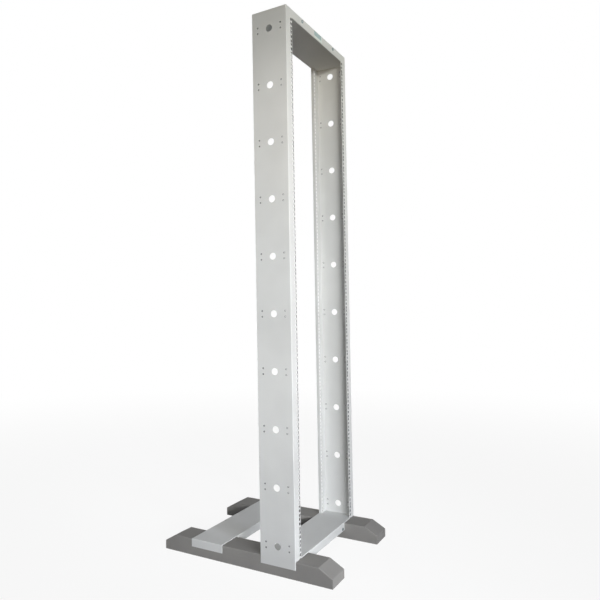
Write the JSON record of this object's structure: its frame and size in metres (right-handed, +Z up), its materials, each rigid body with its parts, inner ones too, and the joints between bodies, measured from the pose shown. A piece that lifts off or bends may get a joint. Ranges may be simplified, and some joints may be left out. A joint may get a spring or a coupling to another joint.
{
  "type": "two post open frame rack",
  "caption": "Tall open rack frame: two perforated uprights joined by channels at top and bottom, on two long feet tied at the rear.",
  "frame": {"origin": "on the floor, under the middle of the rack's outline", "axes": "+Z up, +X to the right of someone who faces the front, +Y to the rear"},
  "size_m": [0.54, 0.69, 1.9669],
  "materials": {
    "light_grey_coat": "light grey powder coat, satin",
    "dark_grey_coat": "dark warm grey powder coat, satin"
  },
  "bodies": {
    "root": {"left_upright": "light_grey_coat", "right_upright": "light_grey_coat", "left_rear_rail": "light_grey_coat", "right_rear_rail": "light_grey_coat", "top_beam": "light_grey_coat", "bottom_beam": "light_grey_coat", "rear_tie": "light_grey_coat", "left_foot": "dark_grey_coat", "right_foot": "dark_grey_coat"}
  },
  "joints": []
}
